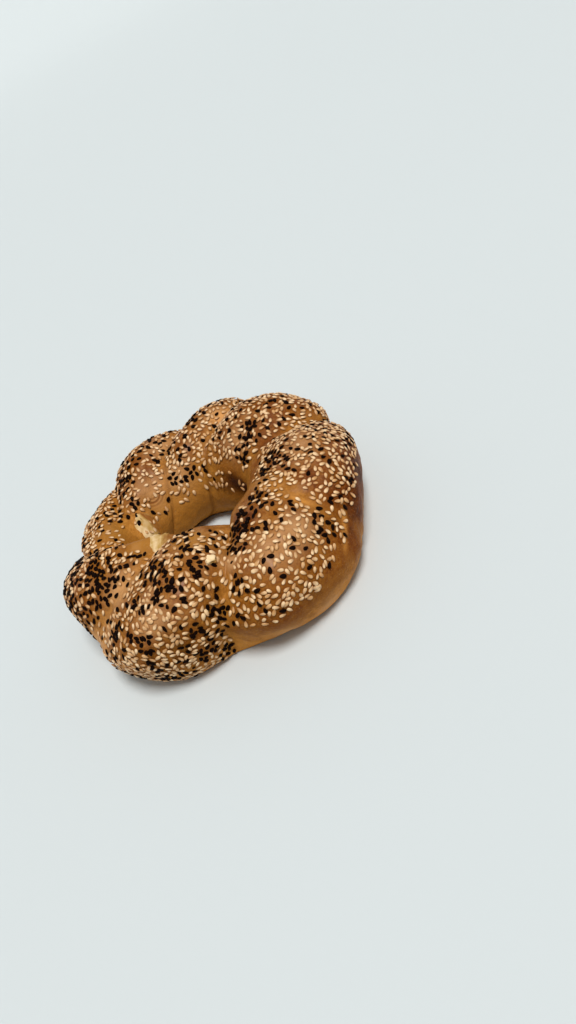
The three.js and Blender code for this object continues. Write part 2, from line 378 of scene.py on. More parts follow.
def foot_angles(place):
    """Section angles at which the crust meets the tray, outside and inside."""
    feet = []
    for low, high in FOOT_SEARCH:
        under = np.full_like(place, math.radians(low))
        over = np.full_like(place, math.radians(high))
        for _ in range(FOOT_STEPS):
            middle = (under + over) / 2.0
            sunk = crust_point(place, middle)[..., 2] < 0.0
            under = np.where(sunk, middle, under)
            over = np.where(sunk, over, middle)
        feet.append(over)
    return feet


def spot_centre(place, around):
    """A point of the crust, at a section angle in degrees."""
    return crust_point(np.array([place]), np.radians([float(around)]))[0]


def spot_share(points, spots):
    """How near points are to the nearest of some marks: 1 on a mark, fading to 0."""
    share = np.zeros(len(points))
    for place, around, radius in spots:
        distance = np.linalg.norm(points - spot_centre(place, around), axis=1)
        share = np.maximum(share, np.exp(-((distance / radius) ** 2)))
    return share


def streak_share(points):
    """How near points are to the nearest stretch mark: 1 on a mark, fading to 0."""
    share = np.zeros(len(points))
    for place, around, last_place, last_around, width in STREAKS:
        step = np.linspace(0.0, 1.0, STREAK_STEPS)
        centres = crust_point(mix(place, last_place, step), np.radians(mix(around, last_around, step)))
        for centre, fade in zip(centres, np.sin(np.pi * step)):
            distance = np.linalg.norm(points - centre, axis=1)
            share = np.maximum(share, fade * np.exp(-((distance / (2.0 * width)) ** 2)))
    return share


def noise_field(points, size, octaves, shift=0.0):
    """Smooth noise from about -1 to 1, with features of that size in millimetres."""
    offset = Vector((shift, -shift, 2.0 * shift))
    return np.array([noise.fractal(Vector(p) / size + offset, 1.0, 2.0, octaves) for p in points])


def ripple_share(points):
    """Where the skin below one bare dome is rippled, from 0 to 1."""
    centre = spot_centre(*RIPPLE_CENTRE)
    distance = np.linalg.norm(points - centre, axis=1)
    near = np.exp(-(((distance - RIPPLE_REACH) / RIPPLE_WIDTH) ** 2))
    return near * ease((centre[2] - points[:, 2]) / RIPPLE_TOP)


def finished_mesh(name, shape):
    """The mesh of a finished shape."""
    mesh = bpy.data.meshes.new(name)
    shape.to_mesh(mesh)
    shape.free()
    return mesh


def link_object(name, data):
    made = bpy.data.objects.new(name, data)
    bpy.context.collection.objects.link(made)
    return made


def make_mesh_object(name, mesh, material):
    """Links a finished mesh as a piece that moves with the roll."""
    piece = link_object(name, mesh)
    mesh.materials.append(material)
    mesh.shade_smooth()
    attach(piece, BODY)
    return piece


def add_attribute(mesh, name, values):
    layer = mesh.attributes.new(name, "FLOAT", "POINT")
    layer.data.foreach_set("value", np.asarray(values, dtype=np.float32))


def dough_band():
    """An open band of quads: a section circle without its bottom edge, spun round the ring."""
    band = bmesh.new()
    upright = Matrix.Translation((RING_RADIUS, 0.0, 0.0)) @ Matrix.Rotation(math.pi / 2, 4, "X")
    bmesh.ops.create_circle(band, segments=SECTION_STEPS, radius=CORE_HEIGHT, matrix=upright)
    lowest = min(band.edges, key=lambda edge: edge.verts[0].co.z + edge.verts[1].co.z)
    bmesh.ops.delete(band, geom=[lowest], context="EDGES")
    bmesh.ops.spin(
        band, geom=band.verts[:] + band.edges[:], cent=(0, 0, 0), axis=(0, 0, 1), dvec=(0, 0, 0),
        angle=2.0 * math.pi, steps=STEPS_PER_LOBE * len(LOBES), use_merge=True, use_duplicate=False,
    )
    return band


def band_coordinates(band):
    """Place along the twist and section angle of each vertex of the band."""
    at = np.array([vertex.co for vertex in band.verts])
    lobes = np.arctan2(at[:, 1], at[:, 0]) / (2.0 * np.pi) * len(LOBES)
    columns = np.round(lobes * STEPS_PER_LOBE) % (STEPS_PER_LOBE * len(LOBES)) / STEPS_PER_LOBE
    share = columns - np.floor(columns)
    place = np.floor(columns) + share - CREASE_CROWDING * np.sin(2.0 * np.pi * share) / (2.0 * np.pi)
    section = np.arctan2(at[:, 2], np.hypot(at[:, 0], at[:, 1]) - RING_RADIUS)
    section = np.where(section < -np.pi / 2, section + 2.0 * np.pi, section)
    gap = np.pi / SECTION_STEPS
    share = (section + np.pi / 2 - gap) / (2.0 * np.pi - 2.0 * gap)
    outer, inner = foot_angles(place)
    return place, mix(outer, inner, np.clip(share, 0.0, 1.0))


def crust_relief(place, points, crease_distance, lumps, wrinkles, settings):
    """Height of the skin's relief in millimetres, and the mask of painted shade along its seams and in its
    pocket.
    """
    sharp = lobe_column("seam")[np.round(place).astype(int) % len(LOBES)]
    seam = sharp * np.exp(-((crease_distance / settings.seam_width) ** 2))
    pocket = spot_share(points, (POCKET,))
    relief = (
        settings.lump_height * lumps
        + settings.wrinkle_height * wrinkles
        - settings.seam_depth * seam * mix(SEAM_EVENNESS, 1.0, np.clip(lumps + 0.5, 0.0, 1.0))
        - POCKET_DEPTH * pocket
    )
    return relief, np.maximum(SEAM_PAINTED_SHADE * seam, pocket)


def colour_masks(place, around, points, crease_distance, lumps, wrinkles):
    """Masks that colour the crust, by name."""
    height = points[:, 2]
    valley = np.exp(-((crease_distance / VALLEY_WIDTH) ** 2))
    inner = ease((np.degrees(around) - INNER_FROM) / INNER_SPAN)
    # browned crust, and painted shade
    brown = spot_share(points, BROWNED_AND_SHADED_SPOTS)
    pale = spot_share(points, PALE_SPOTS)
    browning = (
        MEAN_BROWNING + lobe_value("baked", place - 0.5)
        + LUMP_BROWNING * lumps + WRINKLE_BROWNING * wrinkles + SPOT_BROWNING_AND_SHADE * brown
        - SPOT_PALING * pale - VALLEY_PALING * valley - INNER_PALING * inner
        - SIDE_PALING_AND_PAINTED_LIGHT * (1.0 - ease(height / SIDE_HEIGHT))
    )
    amber = np.maximum(VALLEY_AMBER * valley, INNER_AMBER * inner)
    amber = np.maximum(spot_share(points, ORANGE_SPOTS), amber)
    wash = ease((height - WASH_FROM) / (WASH_FULL - WASH_FROM))
    return {
        "browning": browning,
        "amber": amber * mix(1.0, AMBER_ON_PALE, pale) * mix(1.0, AMBER_ON_BROWN, brown),
        # peach patches, partly painted sheen
        "flush": spot_share(points, FLUSHED_AND_SHEEN_SPOTS) * (PATCH_MEAN + FLUSH_AND_SHEEN_UNEVENNESS * lumps),
        "wash": wash * np.clip(PATCH_MEAN + WASH_UNEVENNESS * lumps, 0.0, 1.0),
        "streak": streak_share(points),
        "ripple": ripple_share(points),
        "mottle": mix(LOW_MOTTLE, 1.0, ease(height / WASH_FROM)),
    }


def build_crust(settings):
    """The crust's mesh with its relief, its flat base and its colour masks."""
    band = dough_band()
    place, around = band_coordinates(band)
    points, along, _, normal = crust_frame(place, around)
    crease_distance = np.abs(place - np.round(place)) * np.linalg.norm(along, axis=1)
    lumps = noise_field(points, LUMP_SIZE, 3)
    wrinkles = noise_field(points, WRINKLE_SIZE, 2, 7.0)
    relief, crease = crust_relief(place, points, crease_distance, lumps, wrinkles, settings)
    shaped = points + normal * (relief * ease(points[:, 2] / FADE_HEIGHT))[:, None]
    shaped[points[:, 2] < TRAY_TOLERANCE, 2] = 0.0
    for vertex, at in zip(band.verts, shaped * MM):
        vertex.co = at
    rim = [edge for edge in band.edges if edge.is_boundary]
    bmesh.ops.triangle_fill(band, use_beauty=True, use_dissolve=False, edges=rim, normal=(0, 0, -1))
    bmesh.ops.recalc_face_normals(band, faces=band.faces[:])
    mesh = finished_mesh("crust", band)
    masks = colour_masks(place, around, points, crease_distance, lumps, wrinkles)
    # The crease mask is painted shade, along the seams and in the pocket
    for name, values in {**masks, "crease": crease}.items():
        add_attribute(mesh, name, np.clip(values, 0.0, 1.0))
    return mesh


def seed_shape():
    """Corners and faces of a flat teardrop seed of length 1, pointing along +Y with its flat side up."""
    drop = bmesh.new()
    turned = Matrix.Rotation(-math.pi / 2, 4, "X")
    bmesh.ops.create_uvsphere(drop, u_segments=SEED_SIDES, v_segments=SEED_RINGS, radius=0.5, matrix=turned)
    for vertex in drop.verts:
        taper = 1.0 - SEED_TAPER * (vertex.co.y + 0.5) ** SEED_TAPER_POWER
        vertex.co.x *= taper
        vertex.co.z *= taper
    corners = np.array([vertex.co for vertex in drop.verts])
    faces = [[vertex.index for vertex in face.verts] for face in drop.faces]
    drop.free()
    return corners, faces


def seed_cover(place, around, points):
    """How thickly seeds lie at places of the crust, from 0 to about 1, and the share of dark ones."""
    number = np.floor(place).astype(int) % len(LOBES)
    degrees = np.degrees(around)
    names = ("lowest", "highest", "cover", "dark")
    lowest, highest, thickness, dark = (lobe_column(name)[number] for name in names)
    window = ease((degrees - lowest) / LOWER_FADE) * ease((highest - degrees) / UPPER_FADE)
    few = np.where(highest > INNER_SEEDS, FEW_SEEDS, 0.0) * ease((degrees - highest) / INNER_FADE)
    clear = mix(CREASE_COVER, 1.0, ease((strand_rise(place) - FLOOR_RISE) / FLANK_RISE))
    bare = 1.0 - spot_share(points, BARE_SPOTS)
    patches = noise_field(points, SPRINKLE_SIZE, 2, 11.0)
    patchy = np.clip(SPRINKLE_MEAN + SPRINKLE_CONTRAST * patches, *SPRINKLE_LIMITS)
    clusters = spot_share(points, DARK_SPOTS)
    cover = thickness * np.maximum(window, few) * clear * bare * patchy
    cover = cover + CLUSTER_COVER * window * clusters
    return cover, np.clip(dark + CLUSTER_DARKNESS * clusters, 0.0, DARKEST_SHARE)


def unit(vectors):
    return vectors / np.linalg.norm(vectors, axis=-1, keepdims=True)


def seed_frames(along, normal, heading, tilt):
    """Directions in which seeds point, and their upward directions, a little tilted."""
    along = unit(along)
    side = np.cross(normal, along)
    up = unit(normal + tilt[:, :1] * along + tilt[:, 1:] * side)
    ahead = along * np.cos(heading)[:, None] + side * np.sin(heading)[:, None]
    ahead = unit(ahead - up * np.sum(ahead * up, axis=1, keepdims=True))
    return ahead, up


def scatter_seeds(settings):
    """Random seeds over the crust. Each is tested as three circles, so that few lie on each other."""
    draw = np.random.default_rng(settings.random_seed)
    place = draw.uniform(0.0, len(LOBES), SEED_TRIES)
    around = np.radians(draw.uniform(*SEED_ANGLES, SEED_TRIES))
    points, along, upward, normal = crust_frame(place, around)
    area = np.linalg.norm(np.cross(along, upward), axis=1)
    area /= np.percentile(area, FULL_AREA)
    cover, dark = seed_cover(place, around, points)
    kept = (draw.uniform(0.0, FULL_COVER, SEED_TRIES) < cover * area) & (points[:, 2] > SEED_CLEARANCE)
    is_dark = draw.uniform(0.0, 1.0, SEED_TRIES) < dark
    spacing = settings.closest * draw.uniform(*SEED_SPACINGS, SEED_TRIES)
    spacing *= np.where(is_dark, DARK_SPACING, 1.0)
    heading = draw.uniform(0.0, 2.0 * np.pi, SEED_TRIES)
    ahead, up = seed_frames(along, normal, heading, draw.normal(0.0, SEED_TILT, (SEED_TRIES, 2)))
    size = draw.normal(1.0, SEED_VARIETY, SEED_TRIES)
    tint = draw.uniform(0.0, 1.0, SEED_TRIES)
    offsets = settings.length * SEED_REACH * np.array((-1.0, 0.0, 1.0))
    lying = {}
    seeds = []
    for i in np.flatnonzero(kept):
        if len(seeds) >= settings.count:
            break
        circles = points[i] + offsets[:, None] * ahead[i]
        cell = tuple((points[i] // GRID).astype(int))
        near = [
            other
            for x in (-1, 0, 1) for y in (-1, 0, 1) for z in (-1, 0, 1)
            for other in lying.get((cell[0] + x, cell[1] + y, cell[2] + z), ())
        ]
        nearest = GRID
        if near:
            nearest = np.linalg.norm(np.concatenate(near)[:, None] - circles[None], axis=2).min()
        if nearest < spacing[i]:
            continue
        lying.setdefault(cell, []).append(circles)
        lift = settings.stand_out + PILE_HEIGHT * max(0.0, 1.0 - nearest / settings.closest)
        seeds.append(Seed(points[i] + lift * normal[i], ahead[i], up[i], size[i], tint[i], bool(is_dark[i])))
    return seeds


def build_seeds(name, seeds, length, width_share, settings):
    """One mesh of all seeds of a kind, with a tint for each and a mask for toasted points and for rims partly
    painted as shade.
    """
    corners, faces = seed_shape()
    scale = np.array((width_share, 1.0, settings.thickness_share)) * length
    height = np.clip(corners[:, 2] / np.abs(corners[:, 2]).max(), 0.0, 1.0)
    # darker at the point, and below the seed's middle as painted shade under the seed
    edge = np.maximum(corners[:, 1] + 0.5, 1.0 - SEED_CAP * height)
    blocks, all_faces = [], []
    for seed in seeds:
        basis = np.stack([np.cross(seed.ahead, seed.up), seed.ahead, seed.up])
        all_faces += [[corner + len(corners) * len(blocks) for corner in face] for face in faces]
        blocks.append((corners * scale * seed.size) @ basis + seed.at)
    mesh = bpy.data.meshes.new(name)
    mesh.from_pydata((np.concatenate(blocks) * MM).tolist(), [], all_faces)
    add_attribute(mesh, "tint", np.repeat([seed.tint for seed in seeds], len(corners)))
    add_attribute(mesh, "edge", np.tile(np.clip(edge, 0.0, 1.0), len(seeds)))
    return mesh


def build_fleck(settings):
    """A torn chunk of crumb that stuck to the crust, browned on one side."""
    spot = np.array([settings.fleck_place]), np.radians([settings.fleck_angle])
    point, along, _, normal = (Vector(vectors[0]) for vectors in crust_frame(*spot))
    along.normalize()
    side = normal.cross(along)
    fleck = bmesh.new()
    bmesh.ops.create_cube(fleck, size=1.0)
    bmesh.ops.bevel(
        fleck, geom=fleck.edges[:], offset=FLECK_BEVEL, segments=2, profile=0.5, affect="EDGES", material=-1,
    )
    bmesh.ops.subdivide_edges(fleck, edges=fleck.edges[:], cuts=3, use_grid_fill=True)
    tint = fleck.verts.layers.float.new("tint")
    for vertex in fleck.verts:
        vertex[tint] = float(ease(FLECK_SLOPE * (vertex.co.x - vertex.co.y) - FLECK_START))
        grain = noise.fractal(FLECK_GRAIN * vertex.co + FLECK_SHIFT, 1.0, 2.0, 4)
        swell = 1.0 + FLECK_ROUGHNESS * grain
        local = Vector(FLECK_SIZE) * vertex.co * swell
        vertex.co = (point + along * local.x + side * local.y + normal * (local.z + FLECK_STANDS)) * MM
    bmesh.ops.recalc_face_normals(fleck, faces=fleck.faces[:])
    return finished_mesh("crumb_fleck", fleck)


def build_torn_web():
    """Shreds of torn dough: sheets over two patches of the crust, drawn into fibres, with ragged rims."""
    web = bmesh.new()
    tint = web.verts.layers.float.new("tint")
    for upper_left, upper_right, lower_right, lower_left in np.array(TORN_PATCHES):
        made = bmesh.ops.create_grid(web, x_segments=TORN_STEPS, y_segments=TORN_STEPS, size=0.5)["verts"]
        across = np.array([[0.5 + vertex.co.x] for vertex in made])
        onward = np.array([[0.5 - vertex.co.y] for vertex in made])
        spots = mix(mix(upper_left, upper_right, across), mix(lower_left, lower_right, across), onward)
        points, _, _, normal = crust_frame(spots[:, 0], np.radians(spots[:, 1]))
        strands = np.hstack([FIBRES_ACROSS * across, FIBRES_ALONG * onward, spots[:, :1]])
        fibres = noise_field(strands, 1.0, 3)[:, None]
        round_off = 1.0 - (2.0 * across - 1.0) ** 2 - (2.0 * onward - 1.0) ** 4
        ragged = noise_field(2.0 * strands, 1.0, 2, 5.0)[:, None]
        inside = ease((round_off + TORN_RAGGEDNESS * ragged) / TORN_RIM)
        lifted = points + normal * mix(-TORN_SINK, TORN_LIFT + FIBRE_HEIGHT * fibres, inside)
        shades = WEB_TINT + WEB_BROWNING * ease(WEB_SLOPE * across - WEB_START) - FIBRE_TINT * fibres
        for vertex, at, shade in zip(made, lifted * MM, np.clip(shades, 0.0, 1.0)):
            vertex.co = at
            vertex[tint] = shade[0]
    bmesh.ops.solidify(web, geom=web.faces[:], thickness=TORN_THICKNESS * MM)
    bmesh.ops.recalc_face_normals(web, faces=web.faces[:])
    return finished_mesh("torn_web", web)


def add_node(tree, kind, **values):
    """A node with its settings."""
    made = tree.nodes.new(kind)
    for name, value in values.items():
        setattr(made, name, value)
    return made


def attribute_value(tree, name):
    return add_node(tree, "ShaderNodeAttribute", attribute_name=name).outputs["Fac"]


def blend_colours(tree, share, first, second):
    """Mixes two colours, each a socket or a plain colour, by a socket's share."""
    made = add_node(tree, "ShaderNodeMix", data_type="RGBA")
    tree.links.new(share, made.inputs[0])
    for socket, colour in ((made.inputs[6], first), (made.inputs[7], second)):
        if isinstance(colour, bpy.types.NodeSocket):
            tree.links.new(colour, socket)
        else:
            socket.default_value = (*colour, 1.0)
    return made.outputs[2]


def combine(tree, kind, *values):
    """A maths node on sockets or numbers."""
    made = add_node(tree, "ShaderNodeMath", operation=kind)
    for socket, value in zip(made.inputs, values):
        if isinstance(value, bpy.types.NodeSocket):
            tree.links.new(value, socket)
        else:
            socket.default_value = value
    return made.outputs[0]


def colour_ramp(tree, value, stops):
    """A colour ramp with stops of position and colour."""
    made = add_node(tree, "ShaderNodeValToRGB")
    ramp = made.color_ramp
    while len(ramp.elements) < len(stops):
        ramp.elements.new(0.5)
    for element, (position, colour) in zip(ramp.elements, stops):
        element.position = position
        element.color = (*colour, 1.0)
    tree.links.new(value, made.inputs["Fac"])
    return made.outputs["Color"]


def mask_ramp(tree, value, low, high):
    """A ramp from black to white."""
    return colour_ramp(tree, value, ((low, (0, 0, 0)), (high, (1, 1, 1))))


def mottle_group():
    """Shared baked mottling: soft noise on the piece's own coordinates, about 0.5."""
    group = bpy.data.node_groups.new("Baked mottling", "ShaderNodeTree")
    for name in ("Scale", "Detail"):
        group.interface.new_socket(name, in_out="INPUT", socket_type="NodeSocketFloat")
    group.interface.new_socket("Value", in_out="OUTPUT", socket_type="NodeSocketFloat")
    entry = group.nodes.new("NodeGroupInput")
    leave = group.nodes.new("NodeGroupOutput")
    place = group.nodes.new("ShaderNodeTexCoord")
    speckle = group.nodes.new("ShaderNodeTexNoise")
    group.links.new(place.outputs["Object"], speckle.inputs["Vector"])
    for name in ("Scale", "Detail"):
        group.links.new(entry.outputs[name], speckle.inputs[name])
    group.links.new(speckle.outputs["Fac"], leave.inputs["Value"])
    return group


def mottling(tree, name):
    """The shared mottling in a material, with its own scale and detail."""
    group = bpy.data.node_groups.get("Baked mottling") or mottle_group()
    made = add_node(tree, "ShaderNodeGroup", node_tree=group)
    made.inputs["Scale"].default_value, made.inputs["Detail"].default_value = MOTTLES[name]
    return made.outputs["Value"]


def new_material(name, roughness, specular):
    """A plain material with its shader."""
    material = bpy.data.materials.new(name)
    material.use_nodes = True
    shader = material.node_tree.nodes["Principled BSDF"]
    shader.inputs["Roughness"].default_value = roughness
    shader.inputs["Specular IOR Level"].default_value = specular
    return material, material.node_tree, shader


def add_bump(tree, shader, height, strength, distance):
    bump = add_node(tree, "ShaderNodeBump")
    bump.inputs["Strength"].default_value = strength
    bump.inputs["Distance"].default_value = distance
    tree.links.new(height, bump.inputs["Height"])
    tree.links.new(bump.outputs["Normal"], shader.inputs["Normal"])


def uneven_roughness(tree, shader, speckle, roughness, spread):
    """A roughness that varies with a mottling."""
    rough = combine(tree, "MULTIPLY_ADD", speckle, spread, roughness - spread / 2)
    tree.links.new(rough, shader.inputs["Roughness"])


def ripple_rings(tree):
    """Concentric ripples of skin, from 0 to 1, where the crust is rippled."""
    coordinates = add_node(tree, "ShaderNodeTexCoord")
    offset = add_node(tree, "ShaderNodeVectorMath", operation="SUBTRACT")
    offset.inputs[1].default_value = spot_centre(*RIPPLE_CENTRE) * MM
    tree.links.new(coordinates.outputs["Object"], offset.inputs[0])
    rings = add_node(tree, "ShaderNodeTexWave", wave_type="RINGS", rings_direction="SPHERICAL")
    rings.inputs["Scale"].default_value = 2.0 * math.pi / (WAVE_TURN * RIPPLE_SPACING * MM)
    rings.inputs["Distortion"].default_value = RIPPLE_WANDER
    tree.links.new(offset.outputs[0], rings.inputs["Vector"])
    return combine(tree, "MULTIPLY", rings.outputs["Fac"], attribute_value(tree, "ripple"))


def crust_colour(tree, settings, mottles, masks):
    """Gold to brown by the browning mask, then the layers of other colours, painted sheen, glints and shade
    among them.
    """
    baked = attribute_value(tree, "browning")
    for speckle, contrast in zip(mottles, CRUST_CONTRASTS):
        uneven = combine(tree, "MULTIPLY_ADD", speckle, contrast, -contrast / 2)
        uneven = combine(tree, "MULTIPLY", uneven, attribute_value(tree, "mottle"))
        baked = combine(tree, "ADD", baked, uneven)
    colour = colour_ramp(tree, baked, (
        (0.0, settings.pale), (0.35, settings.gold), (0.7, settings.brown), (1.0, settings.dark),
    ))
    for name, share, over in CRUST_LAYERS:
        mask = masks[name] if name in masks else attribute_value(tree, name)
        colour = blend_colours(tree, combine(tree, "MULTIPLY", mask, share), colour, getattr(settings, over))
    return colour


def crust_material(settings):
    """Satin crust with rippled, blistered skin and egg wash on its crowns, its colour holding painted sheen,
    glints and shade.
    """
    material, tree, shader = new_material("golden crust", settings.roughness, CRUST_SPECULAR)
    broad, patchy, fine = (mottling(tree, name) for name in ("broad", "patchy", "fine"))
    wash = attribute_value(tree, "wash")
    # Painted sheen on the egg-washed crowns
    blush = mask_ramp(tree, mottling(tree, "blush"), *PAINTED_SHEEN_STOPS)
    # Pale blister specks, partly painted glints
    blisters = mask_ramp(tree, mottling(tree, "blister_and_glint"), *BLISTER_AND_GLINT_STOPS)
    # The ripples also darken the crust's colour in their troughs, as painted shade
    ripples = ripple_rings(tree)
    masks = {"blush": combine(tree, "MULTIPLY", blush, wash), "ripples": ripples, "blisters": blisters}
    tree.links.new(crust_colour(tree, settings, (broad, patchy, fine), masks), shader.inputs["Base Color"])
    uneven_roughness(tree, shader, broad, settings.roughness, CRUST_SPREAD)
    tree.links.new(combine(tree, "MULTIPLY", wash, settings.gloss), shader.inputs["Coat Weight"])
    shader.inputs["Coat Roughness"].default_value = WASH_ROUGHNESS
    skin = combine(tree, "SUBTRACT", combine(tree, "ADD", fine, blisters), ripples)
    add_bump(tree, shader, skin, *SKIN_BUMP)
    return material


def seed_material(name, first, second, tip_and_shade, roughness, specular):
    """Seeds that vary from one colour to another, with a toasted point and a rim that is partly toasted,
    partly painted shade.
    """
    material, tree, shader = new_material(name, roughness, specular)
    speckle = mottling(tree, "seed")
    colour = blend_colours(tree, attribute_value(tree, "tint"), first, second)
    point = mask_ramp(tree, attribute_value(tree, "edge"), *SEED_STOPS)
    for mask, share in ((point, SEED_TIP_SHARE), (speckle, SEED_SHADE)):
        colour = blend_colours(tree, combine(tree, "MULTIPLY", mask, share), colour, tip_and_shade)
    tree.links.new(colour, shader.inputs["Base Color"])
    uneven_roughness(tree, shader, speckle, roughness, SEED_SPREAD)
    add_bump(tree, shader, speckle, *SEED_BUMP)
    return material


def crumb_material(settings):
    """Pale open crumb that turns to thin yellow web and then to crust by its tint."""
    material, tree, shader = new_material("pale crumb", *CRUMB_FINISH)
    open_crumb = mottling(tree, "crumb")
    uneven = combine(tree, "MULTIPLY_ADD", open_crumb, CRUMB_CONTRAST, -CRUMB_CONTRAST / 2)
    shade = combine(tree, "ADD", attribute_value(tree, "tint"), uneven)
    colour = colour_ramp(tree, shade, ((0.0, settings.crumb), (0.5, settings.web), (1.0, settings.gold)))
    tree.links.new(colour, shader.inputs["Base Color"])
    add_bump(tree, shader, open_crumb, *SKIN_BUMP)
    return material


def floor_material(colour):
    """Plain pale floor with a barely seen grain."""
    material, tree, shader = new_material("pale floor", *FLOOR_FINISH)
    grain = combine(tree, "MULTIPLY", mottling(tree, "floor"), FLOOR_GRAIN)
    tinted = blend_colours(tree, grain, tuple(colour), tuple(FLOOR_SHADE * part for part in colour))
    tree.links.new(tinted, shader.inputs["Base Color"])
    return material


def camera_axes(settings):
    """Right, up and back of the camera that saw the roll."""
    azimuth, elevation, roll = settings.azimuth, settings.elevation, settings.roll
    flat = math.cos(elevation)
    back = Vector((math.sin(azimuth) * flat, -math.cos(azimuth) * flat, math.sin(elevation)))
    level = Vector((math.cos(azimuth), math.sin(azimuth), 0.0))
    upright = back.cross(level)
    right = level * math.cos(roll) - upright * math.sin(roll)
    up = level * math.sin(roll) + upright * math.cos(roll)
    return right, up, back


def colour_setting(name, description, default):
    return FloatVectorProperty(
        name=name, description=description, subtype="COLOR", size=3, min=0.0, max=1.0, default=default,
    )


def setting(name, description, default, **limits):
    return FloatProperty(name=name, description=description, default=default, **limits)


def share_setting(name, description, default):
    return setting(name, description, default, subtype="FACTOR", min=0.0, max=1.0)


class KnotRollCrust(bpy.types.PropertyGroup):
    """Skin and colours of the crust"""
    lump_height: setting("Lumps", "Height of the uneven lumps, mm", 0.5, min=0.0)
    wrinkle_height: setting("Wrinkles", "Height of the fine wrinkles, mm", 0.2, min=0.0)
    seam_depth: setting("Seam depth", "Depth of the line in each crease, mm", 0.9, min=0.0)
    seam_width: setting("Seam width", "Half width of that line, mm", 0.8, min=0.1)
    roughness: share_setting("Roughness", "Of the crust", 0.42)
    gloss: share_setting("Gloss", "Weight of the egg wash", 0.25)
    pale: colour_setting("Pale", "Least baked crust", (0.62, 0.255, 0.048))
    gold: colour_setting("Gold", "Golden crust", (0.285, 0.1, 0.012))
    brown: colour_setting("Brown", "Well baked crust", (0.16, 0.038, 0.003))
    dark: colour_setting("Dark", "Darkest crust", (0.07, 0.016, 0.002))
    amber: colour_setting("Amber", "Smooth crust in the valleys", (0.37, 0.15, 0.021))
    # Peach: flushed crust, and the colour of painted sheen and glints
    peach_and_sheen: colour_setting("Peach", "Flushed patches", (0.67, 0.36, 0.155))
    # Seam: painted shade in the creases and in the pocket of the hole
    seam: colour_setting("Seam", "Line in a crease", (0.085, 0.021, 0.003))
    crumb: colour_setting("Crumb", "Torn crumb", (0.84, 0.62, 0.36))
    web: colour_setting("Web", "Thin torn dough", (0.50, 0.30, 0.085))
    fleck_place: setting("Fleck place", "Of the fleck of crumb, along the twist", 0.88)
    fleck_angle: setting("Fleck angle", "Of the fleck, section angle in degrees", 80.0)


class KnotRollSeeds(bpy.types.PropertyGroup):
    """Sizes and colours of the seeds"""
    count: IntProperty(name="Count", description="Most seeds of both kinds", default=3700, min=0)
    random_seed: IntProperty(name="Random seed", description="Start of the random draws", default=7)
    length: setting("Length", "Of a pale seed, mm", 2.75, min=0.1)
    dark_length: setting("Dark length", "Of a dark seed, mm", 2.7, min=0.1)
    width_share: share_setting("Width", "Share of the length", 0.66)
    dark_width_share: share_setting("Dark width", "Share of the length", 0.74)
    thickness_share: share_setting("Thickness", "Share of the length", 0.3)
    closest: setting("Closest", "Usual least distance of two seeds, mm", 1.15, min=0.1)
    stand_out: setting("Stand out", "Height of a seed's middle over the crust, mm", 0.3)
    cream: colour_setting("Cream", "Palest seeds", (0.92, 0.66, 0.38))
    toasted: colour_setting("Toasted", "Most toasted pale seeds", (0.61, 0.32, 0.115))
    # Tip: toasted points, and the painted shade on the lower rims of pale seeds
    tip_and_shade: colour_setting("Tip", "Points of pale seeds", (0.34, 0.14, 0.035))
    black: colour_setting("Black", "Dark seeds", (0.003, 0.001, 0.0006))
    charcoal: colour_setting("Charcoal", "Lighter dark seeds", (0.006, 0.002, 0.001))
    # Rust: points, and the painted shade on the lower rims of dark seeds
    rust_and_shade: colour_setting("Rust", "Points of dark seeds", (0.010, 0.003, 0.0015))


class KnotRollStage(bpy.types.PropertyGroup):
    """Floor, lights and camera"""
    floor: colour_setting("Floor", "Plain pale floor", (0.59, 0.625, 0.62))
    sky: colour_setting("Sky", "Soft light from all round", (0.93, 0.97, 1.0))
    sky_strength: setting("Sky strength", "Of the light from all round", 0.42, min=0.0)
    key_power: setting("Key", "Strength of the overhead light", 2.8, min=0.0)
    key_spread: setting("Key spread", "How wide the overhead light is", 0.35, subtype="ANGLE")
    azimuth: setting("Azimuth", "Of the camera", math.radians(-7.058), subtype="ANGLE")
    elevation: setting("Elevation", "Of the camera", math.radians(37.009), subtype="ANGLE")
    roll: setting("Roll", "Of the camera", math.radians(29.546), subtype="ANGLE")
    distance: setting("Distance", "From the roll", 0.330631, unit="LENGTH")
    aside: setting("Aside", "Camera's place to the right", 0.034427, unit="LENGTH")
    above: setting("Above", "Camera's place upwards in the picture", 0.001324, unit="LENGTH")
    aim_height: setting("Aim height", "Over the floor", 0.022, unit="LENGTH")
    lens: setting("Lens", "Focal length in mm", 26.19140625, unit="CAMERA")


class KNOTROLL_OT_crust(bpy.types.Operator):
    """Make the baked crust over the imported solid"""
    bl_idname = "knotroll.crust"
    bl_label = "Crust"

    def execute(self, context):
        settings = context.scene.knot_roll_crust
        piece = make_mesh_object("crust", build_crust(settings), crust_material(settings))
        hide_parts(NODE)
        return {"FINISHED"}


